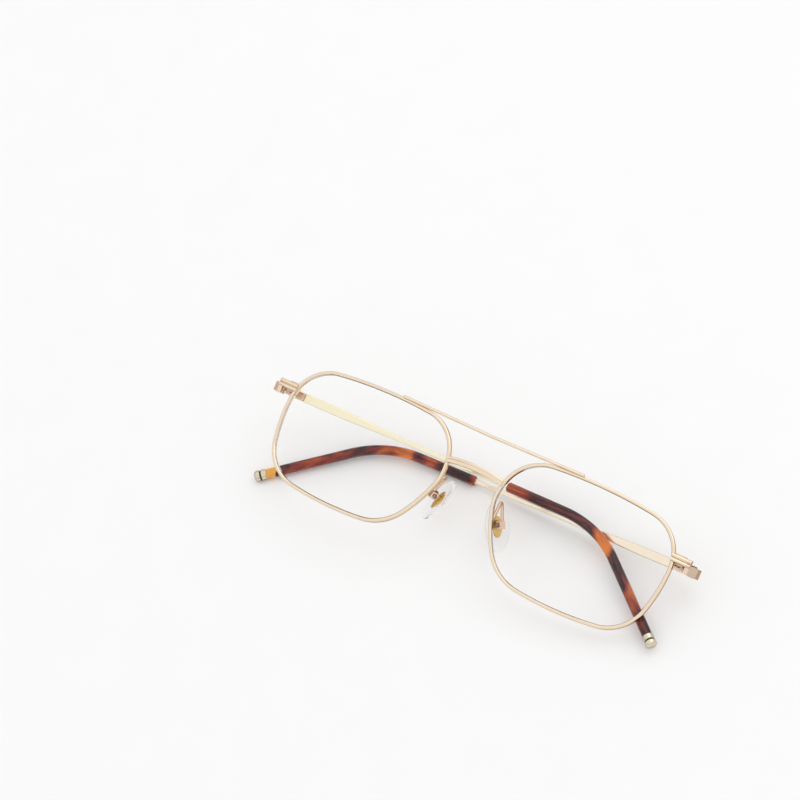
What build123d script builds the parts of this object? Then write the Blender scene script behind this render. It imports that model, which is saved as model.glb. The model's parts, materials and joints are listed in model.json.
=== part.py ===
from build123d import *
import os
from math import asin, atan2, cos, degrees, hypot, radians, sin, tan

os.makedirs("parts", exist_ok=True)

# Glasses with two bars over the nose, folded and lying face up on their temples.
# The front is drawn as it is worn: X to the wearer's left, Y up, Z forwards.
# Left and right are the wearer's. A side is +1 for left and -1 for right.
# At the end of the script the whole frame is laid down on its temples.

# Eyewires
rim_box_width = 55.0       # over the centre line of one eyewire
rim_box_height = 37.8
nose_gap = 17.4            # between the two centre lines
rim_drop = 9.83            # centre of the eyewires below the X axis
rim_setback = 1.26         # centre of the eyewires behind the Y axis
wrap_angle = 2.5           # each eyewire turns back towards the ear
rim_band = 1.1             # seen from the front
rim_depth = 1.6            # front to back
rim_rounding = 0.4
groove_depth = 0.4
groove_width = 0.7
rim_slit = 0.2             # where the eyewire opens to take its lens

# Corners of the eyewire from the nose round the bottom, before rounding
corner_shares = ((-1.0, 0.125), (-0.61, -0.92), (0.83, -0.87), (0.94, 0.86), (-0.84, 0.915))
side_bulge_shares = (0.034, 0.050, 0.078, 0.052, 0.030)
corner_radius_shares = (0.36, 0.41, 0.35, 0.335, 0.34)

# Lenses
lens_thickness = 1.5
lens_front_radius = 450.0
lens_bulge = 1.4           # middle of the front surface ahead of the eyewire's centre
lens_clearance = 0.05
lens_ridge_width = 0.5
lens_ridge_bore = 15.0     # where the ridge's plate ends inside the lens, radius

# Grooved lower bridge and thin brow bar
bridge_rise = 7.8          # its ends above the middle of the eyewires
bridge_arch = 0.85
bridge_height = 1.95
bridge_thickness = 1.3
bridge_bow = 0.8
bridge_groove_width = 0.45
bridge_groove_depth = 0.4
bridge_rounding = 0.3
brow_bar_diameter = 0.9
brow_bar_reach = 21.6      # its ends past the nose side of the eyewires
brow_bar_rise = 0.46       # its ends above the top of the eyewires
brow_bar_sag = 0.4         # its middle below its ends
brow_bar_turn_radius = 80.0
brow_bar_z = 0.1
brow_bar_end_rounding = 0.3

# Hinge, drawn round its screw: outward, backward and up from the middle of the screw
hinge_reach = 5.2          # screw outward of the eyewire's outer side
hinge_rise = 7.4           # screw above the middle of the eyewire
hinge_z = -5.8
temple_tilt = 5.2          # temples slope down from the front
barrel_radius = 0.9
centre_barrel_height = 1.1
barrel_gap = 0.2
outer_barrel_height = 0.8
washer_thickness = 0.12
washer_outer_radius = 0.82
running_clearance = 0.03
seat_clearance = 0.02
screw_radius = 0.55
screw_head_radius = 0.8
screw_head_height = 0.3
screw_slot_width = 0.22
screw_recess = 0.35        # end of the screw inside the lowest barrel

# Endpiece
block_thickness = 1.0
block_height = 2.8
block_reach = 1.7          # end of the block behind the hinge screw
block_facet = 2.1          # slanting front corner, measured along each side
block_front_run = 1.2      # front of the block inward of its facet
lug_thickness = 0.9
lug_front = 4.15           # front of the lug ahead of the hinge screw
lug_height = 2.3
lug_raise = 1.75           # middle of the lug above the middle of the block
lug_overlap = 0.95         # lug on the eyewire, inward of its outer side
ridge_diameter = 1.1
ridge_pitch = 1.2
ridge_overrun = 0.1        # ridges past the start of the facet
arm_inner = 0.95           # inner face of the block outward of the screw

# Hinge leaves
front_leaf_thickness = 0.5
front_leaf_reach = 2.6
barrel_web_reach = 0.6
swing_clearance = 0.25
temple_leaf_length = 5.2
temple_leaf_height = 2.2
temple_leaf_thickness = 0.6
leaf_clearance = 0.2       # temple leaf inward of the block's inner face

# Rim locks
lock_width = 2.3
lock_depth = 2.2
lock_height = 3.2
lock_screw_radius = 0.5
lock_head_radius = 0.8
lock_head_height = 0.35
lock_rounding = 0.3
lock_drop = 0.75           # slit below the middle of the lug

# Temples
rest_gap = 0.2             # right tip behind the left eyewire
crossing_share = 0.92      # where they cross, of the eyewire's half width
fold_gap = 0.95            # left bar behind the bend of the right tip
lean_angles = {"left": -1.5, "right": 0.45}
bar_start = 1.95
bar_offset = 1.40
bar_thickness = 1.0
bar_height = 2.7
bar_thin_height = 1.4
bar_taper_start = 19.0
bar_taper_end = 42.0
bar_taper_rounding = 150.0
bow_length = 92.8
bow_angle = 14.0
bend_radius = 32.0
bend_down_angle = 38.4
bend_inward_angle = 11.6
bar_rounding = 0.3
core_diameter = 1.3
core_overlap = 0.7

# Temple tips
tip_start = 73.6
tip_diameter = 3.0
tip_run = 26.3             # straight part of the tortoise tip behind the bend
tip_rounding = 0.6
band_length = 1.6
band_diameter = 3.2
ring_length = 0.4
ring_diameter = 3.0
ring_rounding = 0.1
cap_length = 1.7
cap_diameter = 3.3
cap_rounding = 1.0
band_rounding = 0.25
core_in_cap = 0.8

# Nose pads, placed from their screws
pad_screw_place = (11.2, -12.55, -7.85)
pad_up_shares = (-0.40, 0.88, 0.26)
pad_front_shares = (0.70, 0.11, 0.71)
pad_length = 15.0
pad_width = 7.8
pad_thickness = 2.2
pad_rounding = 1.0
pad_set_back = 2.3         # middle of the pad behind its screw
pad_hang = 0.6             # middle of the pad below its screw
insert_length = 6.4
insert_width = 3.0
insert_thickness = 0.5
eye_radius = 0.75
eye_thickness = 0.8
pad_screw_radius = 0.4
pad_head_radius = 0.7
pad_head_height = 0.35
box_wall = 0.4
box_length = 2.3
box_floor = 0.4
box_gap = 0.1              # each side of the eye
box_below_screw = 0.8
box_above_screw = 0.9

# Pad arms, from the back of the rim over a loop to the box
arm_diameter = 0.95
arm_loop_radius = 0.85
arm_root = (10.75, -13.0, -1.0)
arm_front_top = (9.5, -6.8, -4.4)
arm_back_top = (9.5, -7.0, -6.3)

# Lying on the table
lying_pitch = 21.59
lying_roll = 3.82

sides = {"left": 1, "right": -1}
pieces = {}

# The same local drawing on both sides of the nose: local Z changes sign instead


def side_vector(side, shares):
    return Vector(side * shares[0], shares[1], shares[2])


def side_plane(side, origin, x_dir, z_dir):
    return Plane(
        origin=side_vector(side, origin),
        x_dir=side_vector(side, x_dir),
        z_dir=side_vector(side, z_dir) * side,
    )


def plane_in(base, origin, x_dir, z_dir):
    """A plane given in another plane's own coordinates."""
    place, x_end, z_end = [
        base.from_local_coords(Vector(point))
        for point in (origin, x_dir, z_dir)
    ]
    return Plane(origin=place, x_dir=x_end - base.origin, z_dir=z_end - base.origin)


rim_centre = (nose_gap / 2 + rim_box_width / 2, -rim_drop, -rim_setback)
wrap = (sin(radians(wrap_angle)), 0, cos(radians(wrap_angle)))
along_rim = (cos(radians(wrap_angle)), 0, -sin(radians(wrap_angle)))
hinge_x = nose_gap / 2 + rim_box_width + hinge_reach
hinge_y = hinge_rise - rim_drop
hinge_place = (hinge_x, hinge_y, hinge_z)
tilt_up = (0, cos(radians(temple_tilt)), sin(radians(temple_tilt)))
rim_planes = {name: side_plane(s, rim_centre, along_rim, wrap) for name, s in sides.items()}
hinge_planes = {name: side_plane(s, hinge_place, (1, 0, 0), tilt_up) for name, s in sides.items()}

# Outline of an eyewire: bulged sides between the corners, then rounded corners

half_width = rim_box_width / 2
half_height = rim_box_height / 2
corners = [(u * half_width, v * half_height) for u, v in corner_shares]
with BuildSketch() as outline:
    with BuildLine():
        for i, corner in enumerate(corners):
            following = corners[(i + 1) % len(corners)]
            SagittaArc(corner, following, -side_bulge_shares[i] * rim_box_height)
    make_face()
    for corner, share in zip(corners, corner_radius_shares):
        fillet(outline.vertices().sort_by_distance(corner)[0], share * rim_box_height)

# Height of the rim lock's slit in the eyewire's plane
lock_y = hinge_rise + lug_raise - lock_drop + lug_front * tan(radians(temple_tilt))


def outline_x(y, way):
    """The eyewire's centre line at one height: way is 1 on its outer side, -1 at the nose."""
    probe = Edge.make_line((0, y), (way * rim_box_width, y))
    crossings = [p.X for edge in outline.edges() for p in edge.find_intersection_points(probe)]
    return way * max(way * x for x in crossings)


rim_outer_x = outline_x(lock_y, 1)


def inset_outline(inset):
    """The eyewire's outline drawn again further in."""
    moved = offset(outline.sketch, amount=-inset)
    with BuildSketch() as redrawn:
        with BuildLine():
            for edge in moved.edges():
                ThreePointArc(edge @ 0, edge @ 0.5, edge @ 1)
        make_face()
    return redrawn.sketch


lens_inset = rim_band / 2 + lens_clearance
lens_blank = inset_outline(lens_inset)
ridge_outline = inset_outline(lens_inset - groove_depth)
groove_outline = inset_outline(rim_band / 2 - groove_depth)

# Eyewires, rolled from grooved wire and slit at the rim lock

eyewire_path = outline.wire()
eyewire_start = eyewire_path @ 0
eyewire_ahead = eyewire_path % 0
for name, side in sides.items():
    plane = rim_planes[name]
    section = plane_in(plane, eyewire_start, eyewire_ahead.cross(Vector(0, 0, 1)), eyewire_ahead)
    with BuildPart() as rim:
        with BuildSketch(section):
            RectangleRounded(rim_band, rim_depth, rim_rounding)
            with Locations((-rim_band / 2, 0)):
                Rectangle(2 * groove_depth, groove_width, mode=Mode.SUBTRACT)
        sweep(path=plane.from_local_coords(eyewire_path))
        with BuildSketch(plane.offset(-rim_depth)):
            with Locations((rim_outer_x, lock_y)):
                Rectangle(3 * rim_band, rim_slit)
        extrude(amount=2 * rim_depth, mode=Mode.SUBTRACT)
    pieces[f"rim_{name}"] = rim.part

# Clear lenses, gently domed, with a ridge for the groove.
# The poles of their spheres point up, away from the lenses.

pole_up = (90, 0, 0)
for name, side in sides.items():
    plane = rim_planes[name]
    with BuildPart() as lens:
        with BuildSketch(plane.offset(-lens_front_radius / 2)):
            add(lens_blank)
        extrude(amount=lens_front_radius)
        with Locations(plane.offset(side * (lens_bulge - lens_front_radius))):
            Sphere(lens_front_radius, rotation=pole_up, mode=Mode.INTERSECT)
            Sphere(lens_front_radius - lens_thickness, rotation=pole_up, mode=Mode.SUBTRACT)
        with BuildSketch(plane.offset(-lens_ridge_width / 2)):
            add(ridge_outline)
            Circle(lens_ridge_bore, mode=Mode.SUBTRACT)
        extrude(amount=lens_ridge_width)
    pieces[f"lens_{name}"] = lens.part

# Lower bridge, bowed forwards, with a groove along its front

bridge_z = -rim_setback + rim_centre[0] * tan(radians(wrap_angle))
bridge_end_x = rim_centre[0] + outline_x(bridge_rise, -1)
bridge_end_y = bridge_rise - rim_drop


def bridge_arc(up):
    """Points of an arc over the nose, at a height above the bridge's centre line."""
    end_y = bridge_end_y + up
    return (-bridge_end_x, end_y), (0, end_y + bridge_arch), (bridge_end_x, end_y)


def bowed_band(back, front):
    """Band of the bowed bridge between two depths, seen from above."""
    with BuildSketch(Plane.XZ) as band:
        with BuildLine():
            arcs = [
                ThreePointArc((-bridge_end_x, z), (0, z + bridge_bow), (bridge_end_x, z))
                for z in (bridge_z + back, bridge_z + front)
            ]
            Line(arcs[0] @ 0, arcs[1] @ 0)
            Line(arcs[0] @ 1, arcs[1] @ 1)
        make_face()
    return band.sketch


with BuildPart() as bridge_groove:
    groove_band = bowed_band(bridge_thickness / 2 - bridge_groove_depth, bridge_thickness)
    extrude(groove_band, amount=rim_box_height, both=True)
    with BuildSketch(Plane.XY.offset(-rim_box_width)):
        with BuildLine():
            ThreePointArc(*bridge_arc(0))
        trace(line_width=bridge_groove_width)
    extrude(amount=2 * rim_box_width, mode=Mode.INTERSECT)

with BuildPart() as bridge:
    bridge_band = bowed_band(-bridge_thickness / 2, bridge_thickness / 2)
    extrude(bridge_band, amount=rim_box_height, both=True)
    with BuildSketch(Plane.XY.offset(-rim_box_width)):
        with BuildLine():
            top = ThreePointArc(*bridge_arc(bridge_height / 2))
            bottom = ThreePointArc(*bridge_arc(-bridge_height / 2))
            Line(top @ 0, bottom @ 0)
            Line(top @ 1, bottom @ 1)
        make_face()
    extrude(amount=2 * rim_box_width, mode=Mode.INTERSECT)
    fillet(bridge.edges().filter_by(lambda edge: edge.length > bridge_end_x), bridge_rounding)
    add(bridge_groove.part, mode=Mode.SUBTRACT)
    add(pieces["rim_left"], mode=Mode.SUBTRACT)
    add(pieces["rim_right"], mode=Mode.SUBTRACT)
pieces["bridge"] = bridge.part.solids().sort_by(SortBy.VOLUME)[-1]

# Brow bar, a plain wire seated on the fronts of both eyewires

brow_bar_end_x = nose_gap / 2 + brow_bar_reach
brow_bar_end_y = half_height - rim_drop + brow_bar_rise
with BuildPart() as brow_bar:
    with BuildLine(Plane.XY.offset(brow_bar_z)) as brow_line:
        FilletPolyline(
            (-brow_bar_end_x, brow_bar_end_y),
            (0, brow_bar_end_y - brow_bar_sag),
            (brow_bar_end_x, brow_bar_end_y),
            radius=brow_bar_turn_radius,
        )
    with BuildSketch(Plane(origin=brow_line.line @ 0, z_dir=brow_line.line % 0)):
        Circle(brow_bar_diameter / 2)
    sweep(path=brow_line.line)
    ends = brow_bar.faces().filter_by(GeomType.PLANE).edges()
    fillet(ends, brow_bar_end_rounding)
    add(pieces["rim_left"], mode=Mode.SUBTRACT)
    add(pieces["rim_right"], mode=Mode.SUBTRACT)
pieces["brow_bar"] = brow_bar.part

# Endpieces: a ridged lug on the eyewire, and a block that turns back beside the hinge

block_outer = arm_inner + block_thickness
lug_inner = -hinge_reach - lug_overlap
facet_inner = block_outer - block_facet
facet_back = block_facet - lug_front
block_inner = facet_inner - block_front_run
ridge_end = facet_inner + ridge_overrun
facet_shift = block_thickness * tan(radians(45 / 2))


def turned_band(plane):
    """Endpiece's block seen from above: across the front, a facet, then back beside the hinge."""
    with BuildSketch(plane) as band:
        with BuildLine():
            Polyline(
                (block_inner, -lug_front),
                (facet_inner, -lug_front),
                (block_outer, facet_back),
                (block_outer, block_reach),
                (arm_inner, block_reach),
                (arm_inner, facet_back + facet_shift),
                (facet_inner - facet_shift, block_thickness - lug_front),
                (block_inner, block_thickness - lug_front),
                close=True,
            )
        make_face()
    return band.sketch


for name, side in sides.items():
    plane = hinge_planes[name]
    lug_base = plane_in(plane, (lug_inner, -lug_front, side * lug_raise), (0, 1, 0), (1, 0, 0))
    with BuildPart() as endpiece:
        extrude(turned_band(plane), amount=block_height / 2, both=True)
        with BuildSketch(lug_base):
            with Locations((lug_thickness / 2, 0)):
                Rectangle(lug_thickness, lug_height)
            with Locations((0, ridge_pitch / 2), (0, -ridge_pitch / 2)):
                Circle(ridge_diameter / 2)
        extrude(amount=ridge_end - lug_inner)
        with BuildSketch(rim_planes[name].offset(-side * rim_depth)):
            add(groove_outline)
        extrude(amount=side * (rim_depth + rim_depth / 2), mode=Mode.SUBTRACT)
        add(pieces[f"rim_{name}"], mode=Mode.SUBTRACT)
    pieces[f"endpiece_{name}"] = endpiece.part

# Rim locks: a block on each side of the slit, drawn together by a screw

lock_top = lock_height / 2
lock_x = rim_outer_x + rim_band / 2 + lock_width / 2
lock_z = -lug_thickness / 2 - lock_depth / 2
for name, side in sides.items():
    plane = rim_planes[name]
    blocks = {"upper": 1, "lower": -1}
    for level, way in blocks.items():
        with BuildPart() as lock:
            face_place = (lock_x, lock_y + way * rim_slit / 2, side * lock_z)
            face = plane_in(plane, face_place, (1, 0, 0), (0, way, 0))
            with BuildSketch(face):
                Rectangle(lock_width + rim_band, lock_depth)
            extrude(amount=lock_top - rim_slit / 2)
            far_end = lock.faces().sort_by_distance(face.offset(lock_top).origin)[0]
            fillet(far_end.edges(), lock_rounding)
            add(pieces[f"rim_{name}"], mode=Mode.SUBTRACT)
            add(pieces[f"endpiece_{name}"], mode=Mode.SUBTRACT)
            with BuildSketch(face.offset(-rim_slit)):
                Circle(lock_screw_radius + seat_clearance)
            extrude(amount=lock_height, mode=Mode.SUBTRACT)
        pieces[f"rim_lock_{level}_{name}"] = lock.part.solids().sort_by(SortBy.VOLUME)[-1]
    head_base = plane_in(plane, (lock_x, lock_y - lock_top, side * lock_z), (1, 0, 0), (0, 1, 0))
    with BuildPart() as lock_screw:
        with BuildSketch(head_base):
            Circle(lock_screw_radius)
        extrude(amount=lock_height)
        with BuildSketch(head_base):
            Circle(lock_head_radius)
        extrude(amount=-lock_head_height)
        with BuildSketch(head_base.offset(-lock_head_height)):
            Rectangle(2 * lock_head_radius, screw_slot_width)
        extrude(amount=lock_head_height / 2, mode=Mode.SUBTRACT)
    pieces[f"rim_lock_screw_{name}"] = lock_screw.part

# Hinge barrels on the endpiece, washers and the hinge screw

barrel_bottom = centre_barrel_height / 2 + barrel_gap
barrel_top = barrel_bottom + outer_barrel_height
for name, side in sides.items():
    plane = hinge_planes[name]
    with BuildPart() as front_leaf:
        with BuildSketch(plane.offset(-barrel_top)):
            Circle(barrel_radius)
            with BuildLine():
                Polyline(
                    (arm_inner, barrel_web_reach),
                    (arm_inner, -front_leaf_reach),
                    (arm_inner - front_leaf_thickness, -front_leaf_reach),
                    (arm_inner - front_leaf_thickness, -barrel_radius),
                    (0, 0),
                    (arm_inner - front_leaf_thickness, barrel_web_reach),
                    close=True,
                )
            make_face()
        extrude(amount=2 * barrel_top)
        with BuildSketch(plane.offset(-barrel_bottom)):
            Circle(barrel_radius + swing_clearance)
        extrude(amount=2 * barrel_bottom, mode=Mode.SUBTRACT)
        with BuildSketch(plane.offset(-barrel_top)):
            Circle(screw_radius + seat_clearance)
        extrude(amount=2 * barrel_top, mode=Mode.SUBTRACT)
        add(pieces[f"endpiece_{name}"], mode=Mode.SUBTRACT)
    pieces[f"hinge_front_leaf_{name}"] = front_leaf.part

    with BuildPart() as washers:
        for way in (1, -1):
            middle = way * (centre_barrel_height + barrel_gap) / 2
            with BuildSketch(plane.offset(middle - washer_thickness / 2)):
                Circle(washer_outer_radius)
                Circle(screw_radius + running_clearance, mode=Mode.SUBTRACT)
            extrude(amount=washer_thickness)
    pieces[f"hinge_washers_{name}"] = washers.part

    head = plane_in(plane, (0, 0, side * barrel_top), (1, 0, 0), (0, 0, side))
    with BuildPart() as hinge_screw:
        with BuildSketch(head):
            Circle(screw_radius)
        extrude(amount=screw_recess - 2 * barrel_top)
        with BuildSketch(head):
            Circle(screw_head_radius)
        extrude(amount=screw_head_height)
        head_top = head.offset(screw_head_height)
        head_face = hinge_screw.faces().sort_by_distance(head_top.origin)[0]
        fillet(head_face.edges(), screw_head_height / 2)
        with BuildSketch(head_top):
            Rectangle(2 * screw_head_radius, screw_slot_width)
        extrude(amount=-screw_head_height / 2, mode=Mode.SUBTRACT)
    pieces[f"hinge_screw_{name}"] = hinge_screw.part

# Temples, folded. Their planes are drawn round the hinge screw: along, outward, and up.


def temple_plane(side, fold, lean):
    """Plane of a temple's bow: X along its chord, Y to its outer side when worn."""
    up = Vector(tan(radians(lean)), 1, tan(radians(temple_tilt))).normalized()
    inward = Vector(-1, 0, 0)
    across = (inward - up * inward.dot(up)).normalized()
    back = up.cross(across) * -1
    back = back if back.Z < 0 else back * -1
    chord = across * cos(radians(fold)) + back * sin(radians(fold))
    return side_plane(side, hinge_place, tuple(chord), tuple(up * -1))


bow_radius = bow_length / radians(bow_angle)
bow_start_angle = bow_angle / 2


def bow(length, aside=0):
    """Point on the bow of a temple bar, and how far to its outer side."""
    angle = radians(bow_start_angle - degrees(length / bow_radius))
    first = radians(bow_start_angle)
    along = bar_start + bow_radius * (sin(first) - sin(angle)) - aside * sin(angle)
    outward = bar_offset + bow_radius * (cos(angle) - cos(first)) + aside * cos(angle)
    return (along, outward)


def temple_line(plane, side, start):
    """Centre line of a temple: a place on its bow, its bend, and the way each run points."""

    def place(along, outward, up=0):
        return plane.from_local_coords(Vector(along, outward, -side * up))

    def ahead(angle, down=0):
        way = place(cos(angle) * cos(down), sin(angle), -cos(angle) * sin(down))
        return way - plane.origin

    last = radians(-bow_start_angle)
    bow_place = place(*bow(start))
    bow_ahead = ahead(radians(bow_start_angle - degrees(start / bow_radius)))
    bend_ahead = ahead(last)
    tip_ahead = ahead(last - radians(bend_inward_angle), radians(bend_down_angle))
    bend_turn = bend_ahead.get_angle(tip_ahead)
    bend_start = place(*bow(bow_length))
    bend_end = bend_start + (bend_ahead + tip_ahead) * bend_radius * tan(radians(bend_turn / 2))
    return bow_place, bow_ahead, bend_start, bend_ahead, bend_end, tip_ahead


def half_band(offset_side, length):
    return [bow(share * length, offset_side) for share in (0, 0.5, 1)]


def fold_to(along, outward, depth):
    """How far a temple folds for one of its points to lie at a depth behind its screw."""
    return degrees(asin(depth / hypot(along, outward)) - atan2(outward, along))


# The right temple is folded first, until its tip lies behind the left eyewire

*_, bend_start, _, bend_end, tip_ahead = temple_line(Plane.XY, -1, tip_start)
crossing_x = crossing_share * half_width
rim_back = rim_setback + crossing_x * sin(radians(wrap_angle)) + rim_depth / 2
crossing_along = hinge_x + rim_centre[0] + crossing_x
crossing = bend_end + tip_ahead * (crossing_along - bend_end.X) / tip_ahead.X
tip_depth = rim_back + rest_gap + tip_diameter / 2 + hinge_z
tip_depth += crossing.Z * sin(radians(temple_tilt))
fold_right = fold_to(crossing.X, crossing.Y, tip_depth)

# The left temple is folded over it, until its bar lies behind the bend of the right tip

bend_middle = (bend_start + bend_end) / 2
turn = radians(fold_right)
bend_depth = bend_middle.X * sin(turn) + bend_middle.Y * cos(turn)
bar_crossing = 2 * hinge_x - bend_middle.X * cos(turn) + bend_middle.Y * sin(turn)
bar_depth = bend_depth + tip_diameter / 2 + fold_gap + bar_thickness / 2
fold_left = fold_to(*bow(bar_crossing - bar_start), bar_depth)
fold_angles = {"left": fold_left, "right": fold_right}

leaf_seat = arm_inner - leaf_clearance
leaf_start_x = barrel_radius + swing_clearance
leaf_end_x = bar_start + temple_leaf_length
leaf_end_y = leaf_seat + temple_leaf_length * tan(radians(bow_start_angle))
leaf_start = (leaf_start_x, leaf_seat)
leaf_root = (leaf_start_x, leaf_seat - temple_leaf_thickness)
leaf_outer_end = (leaf_end_x, leaf_end_y + bar_thickness / 2)
leaf_inner_end = (leaf_end_x, leaf_end_y - temple_leaf_thickness)

for name, side in sides.items():
    plane = temple_plane(side, fold_angles[name], lean_angles[name])
    swing = temple_plane(side, fold_angles[name], 0)
    tip_place, bow_ahead, bend_start, bend_ahead, bend_end, tip_ahead = temple_line(
        plane, side, tip_start
    )
    core_place, core_ahead, *_ = temple_line(plane, side, tip_start - core_overlap)
    tip_end = bend_end + tip_ahead * tip_run
    band_end = tip_end + tip_ahead * band_length
    ring_end = band_end + tip_ahead * ring_length
    cap_end = ring_end + tip_ahead * cap_length

    with BuildPart() as temple_bar:
        with BuildSketch(plane):
            with BuildLine():
                inner = ThreePointArc(*half_band(-bar_thickness / 2, tip_start))
                outer = ThreePointArc(*half_band(bar_thickness / 2, tip_start))
                Line(inner @ 0, outer @ 0)
                Line(inner @ 1, outer @ 1)
            make_face()
        extrude(amount=bar_height / 2, both=True)
        with BuildSketch(plane_in(plane, (0, 0, 0), (1, 0, 0), (0, 1, 0))):
            with BuildLine():
                for way in (-1, 1):
                    FilletPolyline(
                        (0, way * bar_height / 2),
                        (bar_taper_start, way * bar_height / 2),
                        (bar_taper_end, way * bar_thin_height / 2),
                        (bow_length, way * bar_thin_height / 2),
                        radius=bar_taper_rounding,
                    )
                Line((0, -bar_height / 2), (0, bar_height / 2))
                Line((bow_length, -bar_thin_height / 2), (bow_length, bar_thin_height / 2))
            make_face()
        extrude(amount=bow_length, both=True, mode=Mode.INTERSECT)
        fillet(temple_bar.edges().filter_by(lambda edge: edge.length > bar_height), bar_rounding)
        with BuildLine() as core_line:
            TangentArc(core_place, bend_start, tangent=core_ahead)
            TangentArc(bend_start, bend_end, tangent=bend_ahead)
            Line(bend_end, ring_end + tip_ahead * core_in_cap)
        with BuildSketch(Plane(origin=core_line.line @ 0, z_dir=core_line.line % 0)):
            Circle(core_diameter / 2)
        sweep(path=core_line.line)
    pieces[f"temple_bar_{name}"] = temple_bar.part

    with BuildPart() as temple_tip:
        with BuildLine() as tip_line:
            TangentArc(tip_place, bend_start, tangent=bow_ahead)
            TangentArc(bend_start, bend_end, tangent=bend_ahead)
            Line(bend_end, tip_end)
        with BuildSketch(Plane(origin=tip_line.line @ 0, z_dir=tip_line.line % 0)):
            Circle(tip_diameter / 2)
            Circle(core_diameter / 2 + seat_clearance, mode=Mode.SUBTRACT)
        sweep(path=tip_line.line)
        mouth = temple_tip.faces().sort_by_distance(tip_line.line @ 0)
        mouth = mouth.filter_by(GeomType.PLANE)[0].outer_wire()
        fillet(mouth.edges(), tip_rounding)
    pieces[f"temple_tip_{name}"] = temple_tip.part

    collars = {
        "tip_band": (tip_end, band_length, band_diameter, band_rounding),
        "tip_ring": (band_end, ring_length, ring_diameter, ring_rounding),
    }
    for collar_name, (place, length, diameter, rounding) in collars.items():
        with BuildPart() as collar:
            with BuildSketch(Plane(origin=place, z_dir=tip_ahead)):
                Circle(diameter / 2)
                Circle(core_diameter / 2 + seat_clearance, mode=Mode.SUBTRACT)
            extrude(amount=length)
            rims = collar.edges().filter_by(lambda edge: edge.length > 2 * diameter)
            fillet(rims, rounding)
        pieces[f"{collar_name}_{name}"] = collar.part

    with BuildPart() as tip_cap:
        cap_base = Plane(origin=ring_end, z_dir=tip_ahead)
        with BuildSketch(cap_base):
            Circle(cap_diameter / 2)
        extrude(amount=cap_length)
        dome = tip_cap.faces().sort_by_distance(cap_base.offset(cap_length).origin)[0]
        fillet(dome.edges(), cap_rounding)
        foot = tip_cap.faces().sort_by_distance(cap_base.origin)[0]
        fillet(foot.edges(), band_rounding)
        with BuildSketch(cap_base):
            Circle(core_diameter / 2 + seat_clearance)
        extrude(amount=core_in_cap + seat_clearance, mode=Mode.SUBTRACT)
    pieces[f"tip_cap_{name}"] = tip_cap.part

    with BuildPart() as temple_leaf:
        with BuildSketch(swing):
            Circle(barrel_radius)
            with BuildLine():
                Polyline((0, 0), (0, leaf_seat), leaf_start, leaf_root, close=True)
            make_face()
        extrude(amount=centre_barrel_height / 2, both=True)
        with BuildSketch(swing):
            with BuildLine():
                Polyline(leaf_start, leaf_outer_end, leaf_inner_end, leaf_root, close=True)
            make_face()
        extrude(amount=temple_leaf_height / 2, both=True)
        with BuildSketch(swing):
            Circle(screw_radius + running_clearance)
        extrude(amount=barrel_top, both=True, mode=Mode.SUBTRACT)
        add(pieces[f"temple_bar_{name}"], mode=Mode.SUBTRACT)
    pieces[f"hinge_temple_leaf_{name}"] = temple_leaf.part.solids().sort_by(SortBy.VOLUME)[-1]

# Nose pads: a silicone oval on a metal core whose eye hangs on a screw in a small box

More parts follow.
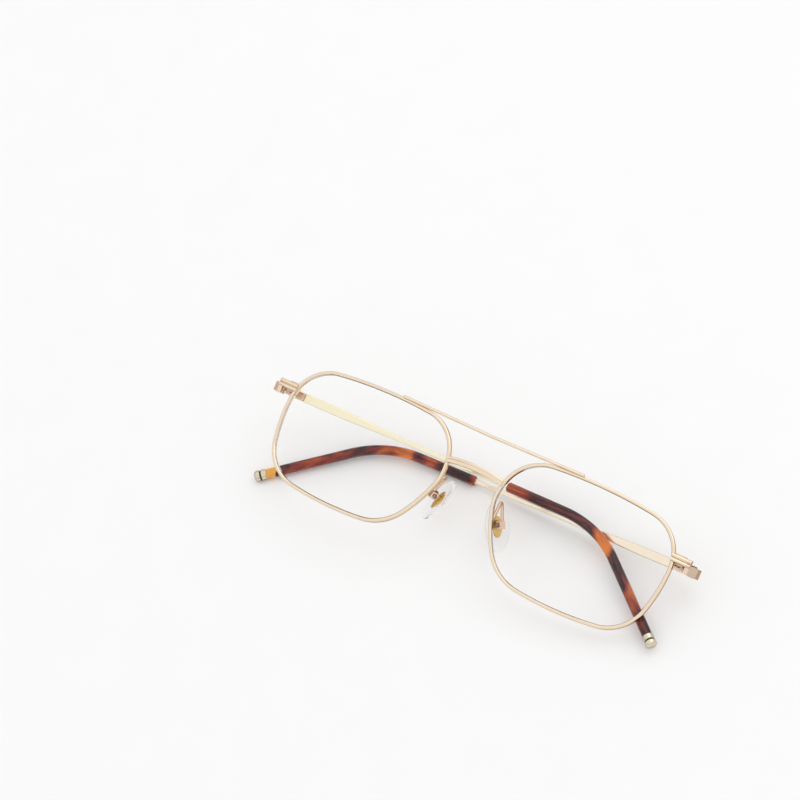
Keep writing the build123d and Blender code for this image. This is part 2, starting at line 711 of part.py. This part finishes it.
pad_up = Vector(*pad_up_shares).normalized()
pad_front = Vector(*pad_front_shares)
pad_front = (pad_front - pad_up * pad_front.dot(pad_up)).normalized()
for name, side in sides.items():
    screw = side_plane(side, pad_screw_place, tuple(pad_up), tuple(pad_front))
    pad_plane = plane_in(screw, (-pad_hang, 0, -side * pad_set_back), (1, 0, 0), (0, 0, 1))
    inner_gap = eye_thickness / 2 + box_gap
    box_half = inner_gap + box_wall

    with BuildPart() as insert:
        with BuildSketch(pad_plane.offset(-insert_thickness / 2)):
            Ellipse(insert_length / 2, insert_width / 2)
        extrude(amount=insert_thickness)
        with BuildSketch(plane_in(screw, (0, -eye_thickness / 2, 0), (1, 0, 0), (0, 1, 0))):
            Circle(eye_radius)
            with Locations((0, side * pad_set_back / 2)):
                Rectangle(2 * eye_radius, pad_set_back)
            Circle(pad_screw_radius + running_clearance, mode=Mode.SUBTRACT)
        extrude(amount=eye_thickness)
    pieces[f"pad_insert_{name}"] = insert.part

    with BuildPart() as nose_pad:
        with BuildSketch(pad_plane.offset(-pad_thickness / 2)):
            Ellipse(pad_length / 2, pad_width / 2)
        extrude(amount=pad_thickness)
        fillet(nose_pad.edges(), pad_rounding)
        add(pieces[f"pad_insert_{name}"], mode=Mode.SUBTRACT)
    pieces[f"nose_pad_{name}"] = nose_pad.part

    with BuildPart() as pad_box:
        with BuildSketch(screw.offset(-side * box_below_screw)):
            Rectangle(box_length, 2 * box_half)
            Rectangle(box_length, 2 * inner_gap, mode=Mode.SUBTRACT)
        extrude(amount=side * (box_below_screw + box_above_screw))
        with BuildSketch(screw.offset(side * box_above_screw)):
            Rectangle(box_length, 2 * box_half)
        extrude(amount=side * box_floor)
        with BuildSketch(plane_in(screw, (0, -box_half, 0), (1, 0, 0), (0, 1, 0))):
            Circle(pad_screw_radius + seat_clearance)
        extrude(amount=2 * box_half, mode=Mode.SUBTRACT)
    pieces[f"pad_box_{name}"] = pad_box.part

    with BuildPart() as pad_screw:
        with BuildSketch(plane_in(screw, (0, -box_half, 0), (1, 0, 0), (0, 1, 0))):
            Circle(pad_screw_radius)
        extrude(amount=2 * box_half)
        head = plane_in(screw, (0, box_half, 0), (1, 0, 0), (0, 1, 0))
        with BuildSketch(head):
            Circle(pad_head_radius)
        extrude(amount=pad_head_height)
        with BuildSketch(head.offset(pad_head_height)):
            Rectangle(2 * pad_head_radius, screw_slot_width)
        extrude(amount=-pad_head_height / 2, mode=Mode.SUBTRACT)
    pieces[f"pad_screw_{name}"] = pad_screw.part

    with BuildPart() as pad_arm:
        box_top = screw.from_local_coords(
            Vector(box_length / 2, 0, side * (box_above_screw + box_floor / 2))
        )
        route = [side_vector(side, p) for p in (arm_root, arm_front_top, arm_back_top)] + [box_top]
        with BuildLine() as arm_line:
            FilletPolyline(*route, radius=arm_loop_radius)
        with BuildSketch(Plane(origin=arm_line.line @ 0, z_dir=arm_line.line % 0)):
            Circle(arm_diameter / 2)
        sweep(path=arm_line.line)
        add(pieces[f"rim_{name}"], mode=Mode.SUBTRACT)
        add(pieces[f"pad_box_{name}"], mode=Mode.SUBTRACT)
    pieces[f"pad_arm_{name}"] = pad_arm.part.solids().sort_by(SortBy.VOLUME)[-1]

# Laid down on its temples, with the origin under the middle of its box

pitch = radians(lying_pitch)
roll = radians(lying_roll)
table_up = Vector(-sin(roll), cos(roll) * sin(pitch), cos(roll) * cos(pitch))
lying_right = (Vector(1, 0, 0) - table_up * table_up.X).normalized()
table = Plane(origin=(0, 0, 0), x_dir=lying_right, z_dir=table_up)
tilted = Compound(children=[table.to_local_coords(piece) for piece in pieces.values()])
extent = tilted.bounding_box()
middle = extent.center()
under_middle = table.from_local_coords(Vector(middle.X, middle.Y, extent.min.Z))
table = Plane(origin=under_middle, x_dir=lying_right, z_dir=table_up)

for name, piece in pieces.items():
    laid = table.to_local_coords(piece)
    laid.label = name
    export_step(laid, f"parts/{name}.step")
print("box", extent.size)
print("folded", fold_angles)
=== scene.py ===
import json
from math import radians

import bpy
from mathutils import Matrix, Quaternion, Vector


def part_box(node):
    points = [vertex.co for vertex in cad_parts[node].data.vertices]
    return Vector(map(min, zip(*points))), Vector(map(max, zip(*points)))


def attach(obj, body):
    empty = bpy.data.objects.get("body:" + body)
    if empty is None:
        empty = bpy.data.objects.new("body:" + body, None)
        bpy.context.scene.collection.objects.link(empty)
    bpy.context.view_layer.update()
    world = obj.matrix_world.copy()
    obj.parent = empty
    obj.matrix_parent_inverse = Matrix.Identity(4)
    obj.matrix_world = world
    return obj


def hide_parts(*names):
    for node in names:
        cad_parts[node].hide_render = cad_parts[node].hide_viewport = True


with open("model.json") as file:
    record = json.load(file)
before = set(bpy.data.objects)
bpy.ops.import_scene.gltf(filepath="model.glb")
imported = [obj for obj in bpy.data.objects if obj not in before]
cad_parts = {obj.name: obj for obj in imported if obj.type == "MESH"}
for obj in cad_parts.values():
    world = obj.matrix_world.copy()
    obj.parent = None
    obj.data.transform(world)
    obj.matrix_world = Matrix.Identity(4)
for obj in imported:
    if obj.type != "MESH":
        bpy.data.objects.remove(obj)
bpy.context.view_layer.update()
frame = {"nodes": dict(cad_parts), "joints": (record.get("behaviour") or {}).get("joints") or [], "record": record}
scene = bpy.context.scene
scene.view_settings.view_transform = "Standard"
bpy.ops.object.select_all(action="DESELECT")

# Camera
# It looks down at the folded glasses from the front left, leaning to one side, with a
# long lens, so that they lie across the lower right of the picture.

camera_place = Vector((0.28861, -0.29273, 0.61503))
camera_target = Vector((-0.04344, 0.02909, 0.0))
camera_lean = radians(17.54)
camera_lens_mm = 113.59

camera_data = bpy.data.cameras.new("camera")
camera_data.lens = camera_lens_mm
camera = bpy.data.objects.new("camera", camera_data)
scene.collection.objects.link(camera)
straight = (camera_target - camera_place).to_track_quat("-Z", "Y")
leaning = straight @ Quaternion((0, 0, 1), -camera_lean)
camera.rotation_euler = leaning.to_euler()
camera.location = camera_place
scene.camera = camera

# Table top
# A smooth white board that runs out of the picture on all sides. It is almost as
# bright as the light on it and keeps the soft shadows under the glasses.

board_size = 6.0
board_colour = (0.93, 0.93, 0.93, 1)
board_grain = 0.02
board_grain_scale = 60
board_roughness = 0.75
board_gloss = 0.2


def speckled_material(name, colour, other_colour, speckle_scale, roughness):
    """A plain surface whose colour varies in a fine, faint speckle."""
    material = bpy.data.materials.new(name)
    material.use_nodes = True
    nodes, links = material.node_tree.nodes, material.node_tree.links
    surface = nodes["Principled BSDF"]
    surface.inputs["Roughness"].default_value = roughness
    where = nodes.new("ShaderNodeTexCoord")
    speckle = nodes.new("ShaderNodeTexNoise")
    speckle.inputs["Scale"].default_value = speckle_scale
    tint = nodes.new("ShaderNodeMix")
    tint.data_type = "RGBA"
    tint.inputs["A"].default_value = colour
    tint.inputs["B"].default_value = other_colour
    links.new(where.outputs["Object"], speckle.inputs["Vector"])
    links.new(speckle.outputs["Fac"], tint.inputs["Factor"])
    links.new(tint.outputs["Result"], surface.inputs["Base Color"])
    return material


bpy.ops.mesh.primitive_grid_add(x_subdivisions=4, y_subdivisions=4, size=board_size)
board = bpy.context.object
board.name = "table_top"
board_shade = [c - board_grain for c in board_colour[:3]] + [1]
board_paint = speckled_material(
    "white_board", board_colour, board_shade, board_grain_scale, board_roughness)
board_surface = board_paint.node_tree.nodes["Principled BSDF"]
board_surface.inputs["Specular IOR Level"].default_value = board_gloss
board.data.materials.append(board_paint)
board.select_set(False)

# Light
# One wide softbox high behind the glasses and a white room round them. The room is
# darker towards its walls, which draws the fine dark lines along the polished wire.

softbox_place = Vector((0.25, 0.75, 1.3))
softbox_size = 1.5
softbox_watts = 4.0
room_level = 0.94
room_wall_level = 0.24
room_ceiling_level = 1.15
room_wall_height = 0.30     # sine of the height at which the wall meets the ceiling

lamp_data = bpy.data.lights.new("softbox", "AREA")
lamp_data.shape = "SQUARE"
lamp_data.size = softbox_size
lamp_data.energy = softbox_watts
lamp = bpy.data.objects.new("softbox", lamp_data)
lamp.location = softbox_place
lamp.rotation_euler = (-softbox_place).to_track_quat("-Z", "Y").to_euler()
scene.collection.objects.link(lamp)

room = bpy.data.worlds.new("room")
room.use_nodes = True
scene.world = room
tree = room.node_tree
plain = tree.nodes["Background"]
plain.inputs["Color"].default_value = (1, 1, 1, 1)
plain.inputs["Strength"].default_value = room_level
shown = tree.nodes.new("ShaderNodeBackground")
shown.inputs["Strength"].default_value = 1
way = tree.nodes.new("ShaderNodeTexCoord")
height = tree.nodes.new("ShaderNodeSeparateXYZ")
wall = tree.nodes.new("ShaderNodeMapRange")
wall.interpolation_type = "SMOOTHSTEP"
wall.inputs["From Min"].default_value = 0
wall.inputs["From Max"].default_value = room_wall_height
wall.inputs["To Min"].default_value = room_wall_level
wall.inputs["To Max"].default_value = room_ceiling_level
rays = tree.nodes.new("ShaderNodeLightPath")
either = tree.nodes.new("ShaderNodeMath")
either.operation = "MAXIMUM"
choose = tree.nodes.new("ShaderNodeMixShader")
mirror_room = tree.nodes.new("ShaderNodeBackground")
choose_mirror = tree.nodes.new("ShaderNodeMixShader")
tree.links.new(way.outputs["Generated"], height.inputs["Vector"])
tree.links.new(height.outputs["Z"], wall.inputs["Value"])
tree.links.new(wall.outputs["Result"], mirror_room.inputs["Strength"])
tree.links.new(rays.outputs["Is Camera Ray"], either.inputs[0])
tree.links.new(rays.outputs["Is Transmission Ray"], either.inputs[1])
tree.links.new(either.outputs[0], choose.inputs["Fac"])
tree.links.new(plain.outputs[0], choose.inputs[1])
tree.links.new(shown.outputs[0], choose.inputs[2])
tree.links.new(rays.outputs["Is Glossy Ray"], choose_mirror.inputs["Fac"])
tree.links.new(choose.outputs[0], choose_mirror.inputs[1])
tree.links.new(mirror_room.outputs[0], choose_mirror.inputs[2])
tree.links.new(choose_mirror.outputs[0], tree.nodes["World Output"].inputs["Surface"])

# Eyewires and rim locks
# Fine metal wire, rolled with a groove for the lens, bent round it and shut by two
# small blocks and a screw behind the endpiece. All of it is plated in pale gold.

sides = ("left", "right")
plated_gold = (0.96, 0.82, 0.64, 1)
plated_gold_deep = (0.90, 0.72, 0.53, 1)
# Painted shade: a dark brown edge tint that stands in for the darker reflections along the edges of the polished
# metal.
painted_edge_shade = (0.34, 0.20, 0.12, 1)     # seen at a grazing angle
plating_drift_scale = 180
polish_grain_scale = 2600
polish_relief = 0.00002
wire_polish = 0.05
wire_unevenness = 0.06


def plating_group():
    """Thin plating: its colour drifts a little, and polishing leaves it uneven."""
    group = bpy.data.node_groups.new("thin_plating", "ShaderNodeTree")
    socket = group.interface.new_socket
    socket("Colour", in_out="INPUT", socket_type="NodeSocketColor")
    socket("Deep Colour", in_out="INPUT", socket_type="NodeSocketColor")
    socket("Polish", in_out="INPUT", socket_type="NodeSocketFloat")
    socket("Unevenness", in_out="INPUT", socket_type="NodeSocketFloat")
    socket("Colour", in_out="OUTPUT", socket_type="NodeSocketColor")
    socket("Roughness", in_out="OUTPUT", socket_type="NodeSocketFloat")
    socket("Normal", in_out="OUTPUT", socket_type="NodeSocketVector")
    nodes, links = group.nodes, group.links
    given = nodes.new("NodeGroupInput")
    out = nodes.new("NodeGroupOutput")
    where = nodes.new("ShaderNodeTexCoord")
    drift = nodes.new("ShaderNodeTexNoise")
    drift.inputs["Scale"].default_value = plating_drift_scale
    drift.inputs["Detail"].default_value = 3
    fine = nodes.new("ShaderNodeTexNoise")
    fine.inputs["Scale"].default_value = polish_grain_scale
    fine.inputs["Detail"].default_value = 2
    tone = nodes.new("ShaderNodeMix")
    tone.data_type = "RGBA"
    spread = nodes.new("ShaderNodeMath")
    spread.operation = "MULTIPLY"
    level = nodes.new("ShaderNodeMath")
    level.operation = "ADD"
    relief = nodes.new("ShaderNodeBump")
    relief.inputs["Strength"].default_value = 0.12
    relief.inputs["Distance"].default_value = polish_relief
    links.new(where.outputs["Object"], drift.inputs["Vector"])
    links.new(where.outputs["Object"], fine.inputs["Vector"])
    links.new(drift.outputs["Fac"], tone.inputs["Factor"])
    links.new(given.outputs["Colour"], tone.inputs["A"])
    links.new(given.outputs["Deep Colour"], tone.inputs["B"])
    links.new(fine.outputs["Fac"], spread.inputs[0])
    links.new(given.outputs["Unevenness"], spread.inputs[1])
    links.new(spread.outputs[0], level.inputs[0])
    links.new(given.outputs["Polish"], level.inputs[1])
    links.new(fine.outputs["Fac"], relief.inputs["Height"])
    links.new(tone.outputs["Result"], out.inputs["Colour"])
    links.new(level.outputs[0], out.inputs["Roughness"])
    links.new(relief.outputs["Normal"], out.inputs["Normal"])
    return group


thin_plating = plating_group()


def plated_metal(name, colour, deep_colour, polish, unevenness):
    """A metal surface with its own plating colour and finish, and painted shade along its edges: a dark brown tint
    at grazing angles.
    """
    material = bpy.data.materials.new(name)
    material.use_nodes = True
    nodes, links = material.node_tree.nodes, material.node_tree.links
    metal = nodes["Principled BSDF"]
    metal.inputs["Metallic"].default_value = 1
    # The dark edge tint is painted shade along the metal's grazing edges.
    metal.inputs["Specular Tint"].default_value = painted_edge_shade
    plating = nodes.new("ShaderNodeGroup")
    plating.node_tree = thin_plating
    plating.inputs["Colour"].default_value = colour
    plating.inputs["Deep Colour"].default_value = deep_colour
    plating.inputs["Polish"].default_value = polish
    plating.inputs["Unevenness"].default_value = unevenness
    links.new(plating.outputs["Colour"], metal.inputs["Base Color"])
    links.new(plating.outputs["Roughness"], metal.inputs["Roughness"])
    links.new(plating.outputs["Normal"], metal.inputs["Normal"])
    return material


def finish_nodes(names, material):
    """Gives CAD nodes their finish."""
    for name in names:
        data = frame["nodes"][name].data
        data.materials.clear()
        data.materials.append(material)


wire_gold = plated_metal("wire_gold", plated_gold, plated_gold_deep, wire_polish, wire_unevenness)
lock_gold = plated_metal("lock_gold", (0.86, 0.64, 0.49, 1), (0.78, 0.55, 0.42, 1), 0.24, 0.12)
finish_nodes([f"rim_{side}" for side in sides], wire_gold)
finish_nodes([f"rim_lock_{half}_{side}" for half in ("upper", "lower") for side in sides], lock_gold)

# Screws
# Small slotted screws of turned steel, darker than the frame. They close the rim
# locks and carry the temples and the nose pads.

screw_steel = plated_metal("screw_steel", (0.42, 0.34, 0.28, 1), (0.30, 0.24, 0.20, 1), 0.20, 0.15)
screws = ("rim_lock_screw", "hinge_screw", "pad_screw")
finish_nodes([f"{screw}_{side}" for screw in screws for side in sides], screw_steel)

# Lenses
# Clear polished plastic, gently domed, with a ridge round the edge that snaps into
# the groove of the eyewire.


haze_scale = 400


def clear_material(name, colour, roughness, ior):
    """A clear solid that lets light through to what lies under it."""
    material = bpy.data.materials.new(name)
    material.use_nodes = True
    nodes, links = material.node_tree.nodes, material.node_tree.links
    solid = nodes["Principled BSDF"]
    solid.inputs["Transmission Weight"].default_value = 1
    solid.inputs["IOR"].default_value = ior
    open_way = nodes.new("ShaderNodeBsdfTransparent")
    ray = nodes.new("ShaderNodeLightPath")
    unseen = nodes.new("ShaderNodeMath")
    unseen.operation = "MAXIMUM"
    pick = nodes.new("ShaderNodeMixShader")
    where = nodes.new("ShaderNodeTexCoord")
    haze = nodes.new("ShaderNodeTexNoise")
    haze.inputs["Scale"].default_value = haze_scale
    film = nodes.new("ShaderNodeMapRange")
    film.inputs["To Min"].default_value = roughness
    film.inputs["To Max"].default_value = roughness * 1.5
    tone = nodes.new("ShaderNodeMix")
    tone.data_type = "RGBA"
    tone.inputs["A"].default_value = colour
    tone.inputs["B"].default_value = [c * 0.99 for c in colour[:3]] + [1]
    links.new(where.outputs["Object"], haze.inputs["Vector"])
    links.new(haze.outputs["Fac"], film.inputs["Value"])
    links.new(haze.outputs["Fac"], tone.inputs["Factor"])
    links.new(film.outputs["Result"], solid.inputs["Roughness"])
    links.new(tone.outputs["Result"], solid.inputs["Base Color"])
    links.new(ray.outputs["Is Shadow Ray"], unseen.inputs[0])
    links.new(ray.outputs["Is Diffuse Ray"], unseen.inputs[1])
    links.new(unseen.outputs[0], pick.inputs["Fac"])
    links.new(solid.outputs[0], pick.inputs[1])
    links.new(open_way.outputs[0], pick.inputs[2])
    links.new(pick.outputs[0], nodes["Material Output"].inputs["Surface"])
    return material


lens_clear = clear_material("lens_clear", (1.0, 1.0, 1.0, 1), 0.004, 1.12)
finish_nodes([f"lens_{side}" for side in sides], lens_clear)

# Bridge and brow bar
# The lower bridge is a stamped bar with a groove along its front, the brow bar a
# plain wire. Both are soldered to the eyewires and plated with them.

finish_nodes(["bridge", "brow_bar"], wire_gold)

# Endpieces and hinge leaves
# The ridged lug is polished like the wire. The block behind it, the barrels and the
# leaves are plated over a satin ground in a warmer pink gold.

satin_rose = plated_metal("satin_rose", (0.86, 0.66, 0.53, 1), (0.78, 0.56, 0.45, 1), 0.28, 0.12)
block_rose = (0.87, 0.67, 0.54, 1)
block_polish = 0.26
lug_share = 0.62            # of the endpiece's width, from the eyewire outwards
lug_blend_share = 0.03
for side in sides:
    low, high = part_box(f"endpiece_{side}")
    lug_x, block_x = (low.x, high.x) if side == "left" else (high.x, low.x)
    metal = plated_metal(
        f"endpiece_gold_{side}", plated_gold, plated_gold_deep, wire_polish, wire_unevenness)
    nodes, links = metal.node_tree.nodes, metal.node_tree.links
    plating = next(node for node in nodes if node.type == "GROUP")
    where = nodes.new("ShaderNodeTexCoord")
    axes = nodes.new("ShaderNodeSeparateXYZ")
    outward = nodes.new("ShaderNodeMapRange")
    outward.interpolation_type = "SMOOTHSTEP"
    width = block_x - lug_x
    outward.inputs["From Min"].default_value = lug_x + width * (lug_share - lug_blend_share)
    outward.inputs["From Max"].default_value = lug_x + width * (lug_share + lug_blend_share)
    satin = nodes.new("ShaderNodeMapRange")
    satin.inputs["To Min"].default_value = wire_polish
    satin.inputs["To Max"].default_value = block_polish
    warm = nodes.new("ShaderNodeMix")
    warm.data_type = "RGBA"
    warm.inputs["A"].default_value = plated_gold
    warm.inputs["B"].default_value = block_rose
    links.new(where.outputs["Object"], axes.inputs["Vector"])
    links.new(axes.outputs["X"], outward.inputs["Value"])
    links.new(outward.outputs["Result"], satin.inputs["Value"])
    links.new(outward.outputs["Result"], warm.inputs["Factor"])
    links.new(satin.outputs["Result"], plating.inputs["Polish"])
    links.new(warm.outputs["Result"], plating.inputs["Colour"])
    finish_nodes([f"endpiece_{side}"], metal)
leaves = ("hinge_front_leaf", "hinge_temple_leaf")
finish_nodes([f"{leaf}_{side}" for leaf in leaves for side in sides], satin_rose)

# Hinge washers
# Thin nylon rings that keep the barrels apart and the temple's swing firm.

nylon_colours = ((0.80, 0.78, 0.72, 1), (0.70, 0.67, 0.60, 1))
washer_nylon = speckled_material("washer_nylon", *nylon_colours, speckle_scale=3000, roughness=0.55)
finish_nodes([f"hinge_washers_{side}" for side in sides], washer_nylon)

# Temple bars
# Flat drawn bars, polished, that thin into the core wire inside the tips. The right
# one is plated a shade yellower. Their inner faces carry no lettering.

bar_gold = {
    "left": plated_metal("bar_gold_left", (0.98, 0.88, 0.72, 1), (0.96, 0.83, 0.66, 1), 0.16, 0.08),
    "right": plated_metal("bar_gold_right", (0.97, 0.91, 0.68, 1), (0.95, 0.87, 0.62, 1), 0.16, 0.08),
}
for side in sides:
    finish_nodes([f"temple_bar_{side}"], bar_gold[side])

# Temple tips
# Polished tortoise acetate pushed over the core wire: almost black, with red brown
# streaks that follow its bend and a few orange clouds. The left tip ends in amber.

shell_dark = (0.030, 0.006, 0.010, 1)
shell_red = (0.25, 0.028, 0.013, 1)
shell_orange = (0.70, 0.19, 0.020, 1)
shell_amber = (0.76, 0.36, 0.060, 1)
joints = {joint["name"]: joint for joint in frame["joints"]}
tip_bend = radians(38)
tip_bend_share = 0.48       # of the tip's length, where it bends down behind the ear
tip_bend_half_share = 0.08
tip_bend_axis = Vector((1, 0, 0)).cross(-Vector(joints["hinge_left"]["axis"]))
streak_scale = (40, 750, 750)
coolest_streak, warmest_streak = -0.22, 0.30
cloud_wander_scale = 260
cloud_wander_share = 0.05
# Share of the tip's length at which its amber stretch starts: the right tip has none
amber_start_share = {"left": 0.935, "right": 2}
# Shares of the tip's length along X from its mouth, and how orange the shell is there
clouds = {
    "left": ((0.0, 0.45), (0.04, 0.08), (0.19, 0.08), (0.25, 0.50), (0.31, 0.10), (0.37, 0.85),
             (0.42, 0.75), (0.46, 0.48), (0.51, 0.42), (0.56, 0.06), (0.66, 0.22), (0.77, 0.36),
             (0.86, 0.30), (0.91, 0.05)),
    "right": ((0.0, 0.48), (0.10, 0.40), (0.16, 0.05), (0.49, 0.02), (0.54, 0.85), (0.60, 0.92),
              (0.65, 0.02), (0.76, 0.02), (0.81, 0.60), (0.87, 0.50), (0.92, 0.20)),
}
for side in sides:
    low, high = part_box(f"temple_tip_{side}")
    mouth_x, end_x = (high.x, low.x) if side == "left" else (low.x, high.x)
    shell = bpy.data.materials.new(f"tortoise_{side}")
    shell.use_nodes = True
    nodes, links = shell.node_tree.nodes, shell.node_tree.links
    surface = nodes["Principled BSDF"]
    surface.inputs["Roughness"].default_value = 0.10
    surface.inputs["IOR"].default_value = 1.38
    surface.inputs["Coat Weight"].default_value = 0.3
    surface.inputs["Coat Roughness"].default_value = 0.03
    where = nodes.new("ShaderNodeTexCoord")
    axes = nodes.new("ShaderNodeSeparateXYZ")
    along = nodes.new("ShaderNodeMapRange")
    along.inputs["From Min"].default_value = mouth_x
    along.inputs["From Max"].default_value = end_x
    wander = nodes.new("ShaderNodeTexNoise")
    wander.inputs["Scale"].default_value = cloud_wander_scale
    wander.inputs["Detail"].default_value = 3
    shift = nodes.new("ShaderNodeMapRange")
    shift.inputs["To Min"].default_value = -cloud_wander_share
    shift.inputs["To Max"].default_value = cloud_wander_share
    total = nodes.new("ShaderNodeMath")
    total.operation = "ADD"
    cloud = nodes.new("ShaderNodeValToRGB")
    cloud.color_ramp.interpolation = "EASE"
    points = cloud.color_ramp.elements
    while len(points) > 1:
        points.remove(points[-1])
    for i, (share, orange) in enumerate(clouds[side]):
        point = points[0] if i == 0 else points.new(share)
        point.position = share
        point.color = (orange, orange, orange, 1)
    bent = nodes.new("ShaderNodeMapRange")
    bent.interpolation_type = "SMOOTHSTEP"
    bent.inputs["From Min"].default_value = tip_bend_share - tip_bend_half_share
    bent.inputs["From Max"].default_value = tip_bend_share + tip_bend_half_share
    bent.inputs["To Max"].default_value = tip_bend if side == "right" else -tip_bend
    turned = nodes.new("ShaderNodeVectorRotate")
    bend_x = mouth_x + (end_x - mouth_x) * tip_bend_share
    turned.inputs["Center"].default_value = (bend_x, high.y, (low.z + high.z) / 2)
    turned.inputs["Axis"].default_value = tip_bend_axis
    grain_place = nodes.new("ShaderNodeMapping")
    grain_place.inputs["Scale"].default_value = streak_scale
    streak = nodes.new("ShaderNodeTexNoise")
    streak.inputs["Scale"].default_value = 1
    streak.inputs["Detail"].default_value = 4
    streak_share = nodes.new("ShaderNodeMapRange")
    streak_share.inputs["From Min"].default_value = 0.3
    streak_share.inputs["From Max"].default_value = 0.7
    streak_share.inputs["To Min"].default_value = coolest_streak
    streak_share.inputs["To Max"].default_value = warmest_streak
    warmth = nodes.new("ShaderNodeMath")
    warmth.operation = "ADD"
    tone = nodes.new("ShaderNodeValToRGB")
    tones = tone.color_ramp.elements
    tones[0].position = 0.10
    tones[0].color = shell_dark
    tones[1].position = 1
    tones[1].color = shell_orange
    tones.new(0.42).color = shell_red
    window = nodes.new("ShaderNodeMath")
    window.operation = "GREATER_THAN"
    window.inputs[1].default_value = amber_start_share[side]
    ended = nodes.new("ShaderNodeMix")
    ended.data_type = "RGBA"
    ended.inputs["B"].default_value = shell_amber
    links.new(where.outputs["Object"], axes.inputs["Vector"])
    links.new(where.outputs["Object"], wander.inputs["Vector"])
    links.new(along.outputs["Result"], bent.inputs["Value"])
    links.new(bent.outputs["Result"], turned.inputs["Angle"])
    links.new(where.outputs["Object"], turned.inputs["Vector"])
    links.new(turned.outputs["Vector"], grain_place.inputs["Vector"])
    links.new(grain_place.outputs["Vector"], streak.inputs["Vector"])
    links.new(axes.outputs["X"], along.inputs["Value"])
    links.new(wander.outputs["Fac"], shift.inputs["Value"])
    links.new(along.outputs["Result"], total.inputs[0])
    links.new(shift.outputs["Result"], total.inputs[1])
    links.new(total.outputs[0], cloud.inputs["Fac"])
    links.new(streak.outputs["Fac"], streak_share.inputs["Value"])
    links.new(cloud.outputs["Color"], warmth.inputs[0])
    links.new(streak_share.outputs["Result"], warmth.inputs[1])
    links.new(warmth.outputs[0], tone.inputs["Fac"])
    links.new(along.outputs["Result"], window.inputs[0])
    links.new(window.outputs[0], ended.inputs["Factor"])
    links.new(tone.outputs["Color"], ended.inputs["A"])
    links.new(ended.outputs["Result"], surface.inputs["Base Color"])
    finish_nodes([f"temple_tip_{side}"], shell)

# Bands, rings and caps of the tips
# Turned metal collars and domed caps, paler than the frame, with a black ring
# between them.

cap_metal = plated_metal("cap_metal", (0.80, 0.73, 0.58, 1), (0.70, 0.62, 0.46, 1), 0.16, 0.12)
finish_nodes([f"{collar}_{side}" for collar in ("tip_band", "tip_cap") for side in sides], cap_metal)

black_colours = ((0.012, 0.012, 0.012, 1), (0.03, 0.028, 0.026, 1))
ring_black = speckled_material("ring_black", *black_colours, speckle_scale=2500, roughness=0.35)
finish_nodes([f"tip_ring_{side}" for side in sides], ring_black)

# Pad arms and boxes
# Thin bent wires soldered to the backs of the eyewires, each with a small open box
# on its end, in the frame's plating.

arm_gold = plated_metal("arm_gold", (0.86, 0.64, 0.48, 1), (0.78, 0.54, 0.40, 1), 0.16, 0.10)
finish_nodes([f"{part}_{side}" for part in ("pad_arm", "pad_box") for side in sides], arm_gold)

# Pad cores
# Stamped metal plates inside the silicone, each with the eye that hangs in its box.

core_gold = plated_metal("core_gold", (0.83, 0.58, 0.25, 1), (0.72, 0.46, 0.16, 1), 0.22, 0.12)
finish_nodes([f"pad_insert_{side}" for side in sides], core_gold)

# Nose pads
# Clear silicone ovals moulded round their cores: a soft domed face to the nose, a
# thin rounded edge and a shallow step at the back.

pad_length = 0.0150
pad_width = 0.0078
pad_thickness = 0.0022
# Height above the pad's middle and size, as shares, from the back to the face
pad_profile_shares = ((-0.42, 0.50), (-0.44, 0.72), (-0.50, 0.80), (-0.40, 0.95), (-0.10, 1.0),
                      (0.20, 0.96), (0.38, 0.80), (0.47, 0.52), (0.50, 0.20))
silicone = clear_material("silicone", (0.99, 0.99, 0.985, 1), 0.05, 1.10)
mounts = {mount["name"]: mount for mount in frame["record"]["mounts"]}
for side in sides:
    rest = mounts[f"nose_rest_{side}"]
    face = Vector(rest["axis"])
    middle = Vector(rest["pos_m"]) - face * pad_thickness / 2
    across = Vector(joints[f"pad_rock_{side}"]["axis"])
    long_way = across.cross(face).normalized()
    across = face.cross(long_way)
    turn = Matrix((long_way, across, face)).transposed()
    low_share, low_size = pad_profile_shares[0]
    bpy.ops.mesh.primitive_circle_add(vertices=48, radius=0.5, fill_type="NGON")
    pad = bpy.context.object
    pad.name = f"silicone_pad_{side}"
    bpy.ops.object.mode_set(mode="EDIT")
    bpy.ops.mesh.select_all(action="SELECT")
    bpy.ops.transform.resize(value=(pad_length * low_size, pad_width * low_size, 1))
    bpy.ops.transform.translate(value=(0, 0, low_share * pad_thickness))
    for (before, size_before), (after, size_after) in zip(pad_profile_shares, pad_profile_shares[1:]):
        bpy.ops.mesh.extrude_region_move(
            TRANSFORM_OT_translate={"value": (0, 0, (after - before) * pad_thickness)})
        grow = size_after / size_before
        bpy.ops.transform.resize(value=(grow, grow, 1))
    bpy.ops.mesh.select_all(action="SELECT")
    bpy.ops.mesh.normals_make_consistent(inside=False)
    bpy.ops.object.mode_set(mode="OBJECT")
    smooth = pad.modifiers.new("round", "SUBSURF")
    smooth.levels = 2
    smooth.render_levels = 2
    bpy.ops.object.modifier_apply(modifier=smooth.name)
    bpy.ops.object.shade_smooth()
    pad.data.transform(Matrix.Translation(middle) @ turn.to_4x4())
    pad.data.materials.append(silicone)
    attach(pad, f"pad_{side}")
    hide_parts(f"nose_pad_{side}")
    pad.select_set(False)
